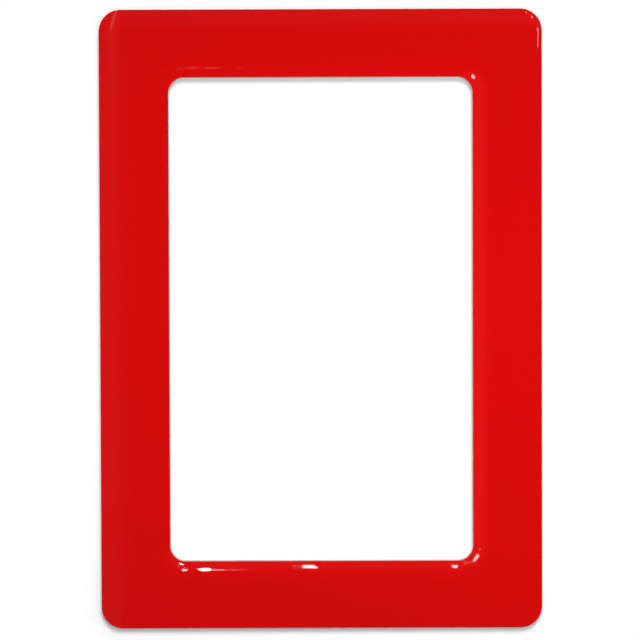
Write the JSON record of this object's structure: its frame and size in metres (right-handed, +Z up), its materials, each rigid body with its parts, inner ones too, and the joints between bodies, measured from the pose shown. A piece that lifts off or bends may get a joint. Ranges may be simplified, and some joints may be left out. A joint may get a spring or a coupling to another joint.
{
  "type": "magnetic photo frame",
  "caption": "Flexible magnetic frame for a 10 x 15 cm print: a flat magnet-sheet ring with a red label under a domed clear resin face and an open window.",
  "frame": {"origin": "centre of the magnetic back face, in the middle of the picture window", "axes": "+Y out of the magnetic back, into the steel that it sticks to, so the glossy face looks to -Y; +Z up along the long side; +X to the right of someone who looks at the face"},
  "size_m": [0.13, 0.0025, 0.182],
  "materials": {
    "magnet_rubber": "matte calendered ferrite rubber, dark brown-black",
    "adhesive": "clear acrylic adhesive coat, slightly yellow at its edge",
    "white_vinyl": "satin white vinyl film",
    "red_vinyl": "self-coloured red vinyl label",
    "clear_resin": "clear cast polyurethane, wet gloss"
  },
  "bodies": {
    "root": {"magnet_sheet": "magnet_rubber", "sheet_glue": "adhesive", "white_film": "white_vinyl", "label_glue": "adhesive", "red_label": "red_vinyl", "resin_dome": "clear_resin"}
  },
  "joints": []
}
